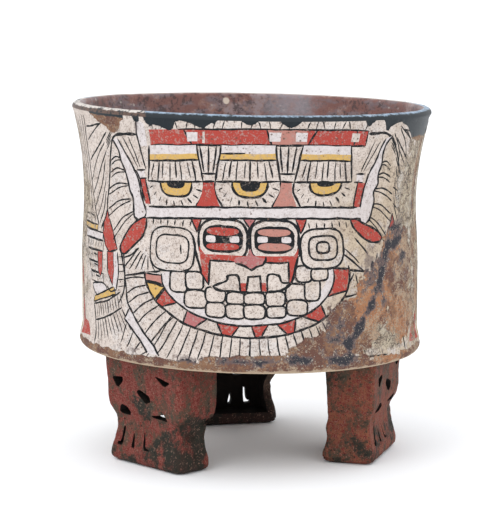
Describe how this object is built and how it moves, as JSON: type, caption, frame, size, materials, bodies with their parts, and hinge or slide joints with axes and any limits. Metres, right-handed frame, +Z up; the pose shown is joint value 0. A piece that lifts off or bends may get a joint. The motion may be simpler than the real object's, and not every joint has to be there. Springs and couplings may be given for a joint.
{
  "type": "tripod vessel",
  "caption": "Painted clay cylinder bowl with a flared rim, standing on hollow pierced slab feet.",
  "frame": {"origin": "on the ground, under the centre of the rim", "axes": "+Z up; the painted face looks along -Y; +X to the right of that face"},
  "size_m": [0.16, 0.16, 0.1576],
  "materials": {
    "painted_clay": "fired clay with worn painted stucco, burnished slip inside and on the lip, matte feet"
  },
  "bodies": {
    "root": {"tripod_vessel": "painted_clay"}
  },
  "joints": []
}
